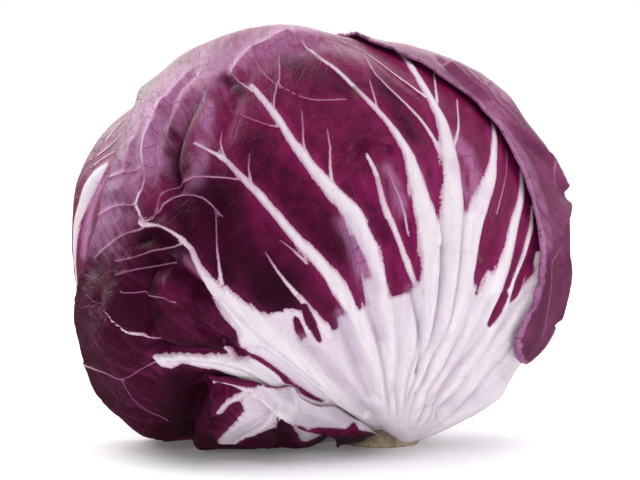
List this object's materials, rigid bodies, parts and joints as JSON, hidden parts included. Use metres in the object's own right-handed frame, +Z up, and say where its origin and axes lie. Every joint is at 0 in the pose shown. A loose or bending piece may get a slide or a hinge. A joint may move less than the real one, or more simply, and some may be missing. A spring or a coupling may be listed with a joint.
{
  "type": "radicchio head",
  "caption": "Round head of red chicory: broad ribbed leaves wrapped over a tight heart on a short cut stem.",
  "frame": {"origin": "on the surface that the head rests on, under the middle of its box", "axes": "+Z up, +X to the right along the head's width, -Y towards the front leaf"},
  "size_m": [0.119, 0.1126, 0.1007],
  "materials": {
    "leaf": "satin wine-purple leaf with white ribs",
    "heart": "satin inner leaves, purple with white ribs",
    "stem": "matt cut stem, cream going brown"
  },
  "bodies": {
    "root": {"stem": "stem", "heart": "heart", "leaf_inner_back": "leaf", "leaf_left": "leaf", "leaf_front": "leaf", "leaf_back": "leaf", "leaf_right": "leaf", "leaf_stub": "leaf"}
  },
  "joints": []
}
